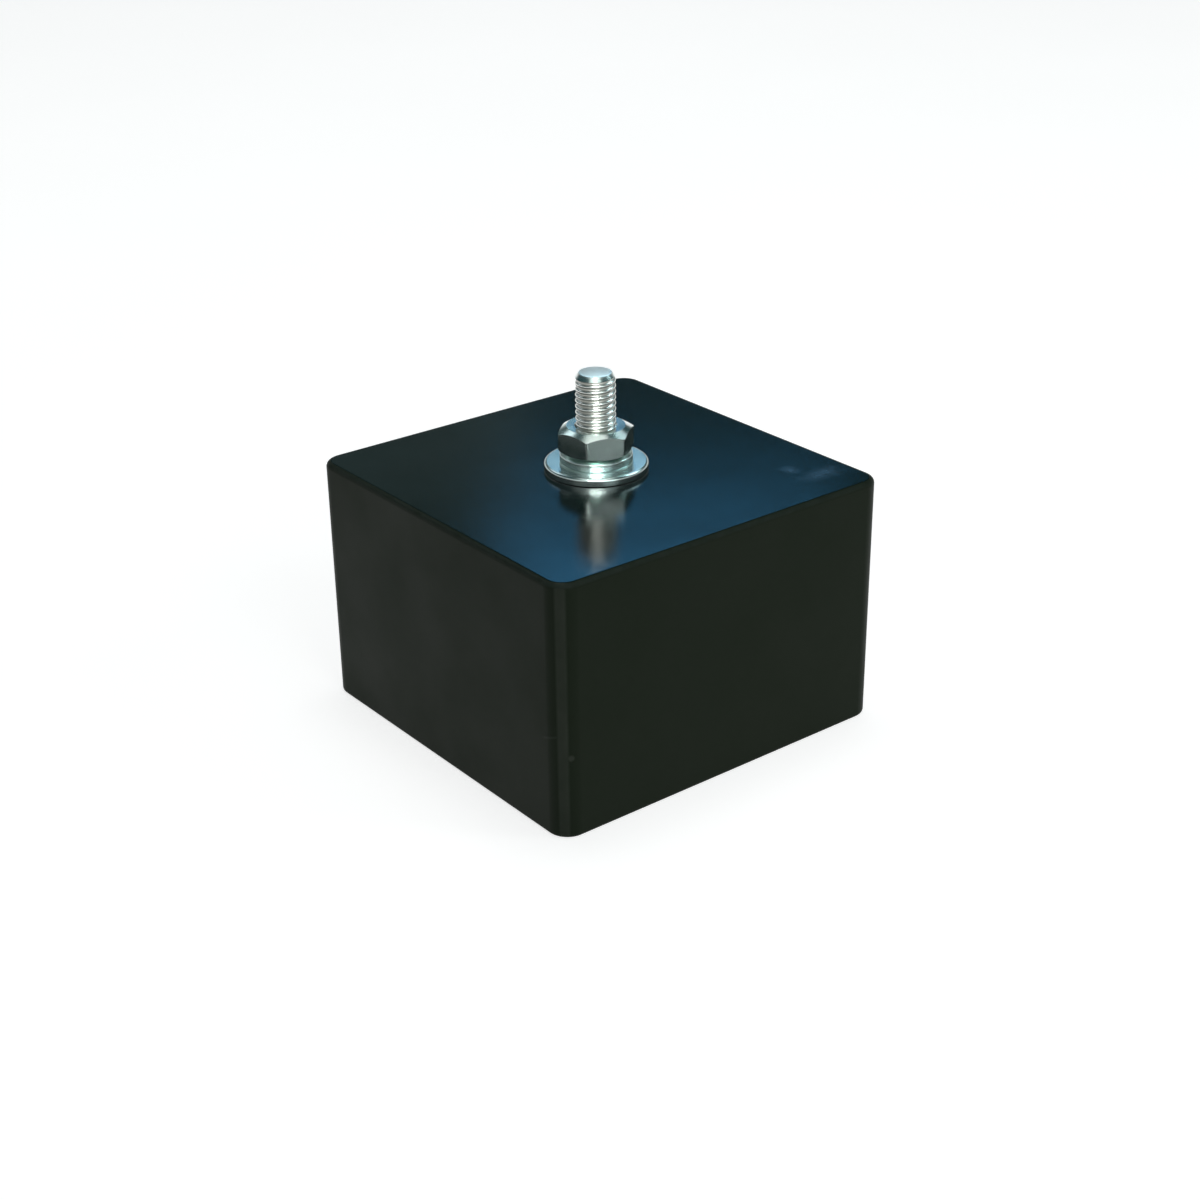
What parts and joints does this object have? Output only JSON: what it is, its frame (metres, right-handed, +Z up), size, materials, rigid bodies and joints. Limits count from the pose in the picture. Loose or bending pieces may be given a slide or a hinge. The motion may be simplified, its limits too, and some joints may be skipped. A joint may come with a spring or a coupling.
{
  "type": "rubber foot",
  "caption": "Square block of moulded rubber with a threaded stud, flat washer, spring washer and hex nut on top, which carries a machine or bench off the floor and damps its vibration",
  "frame": {"origin": "centre of the block's underside, where the foot stands", "axes": "+Z up along the stud; X and Y square to the block's four sides"},
  "size_m": [0.1, 0.1, 0.0902],
  "materials": {
    "rubber": "smooth moulded black rubber, slightly glossy on top and duller on the sides",
    "zinc_steel": "bright zinc-plated steel",
    "washer_steel": "bright zinc-plated steel with a cool cast"
  },
  "bodies": {
    "root": {"rubber_block": "rubber", "stud_bolt": "zinc_steel", "flat_washer": "washer_steel", "spring_washer": "washer_steel", "hex_nut": "zinc_steel"}
  },
  "joints": []
}
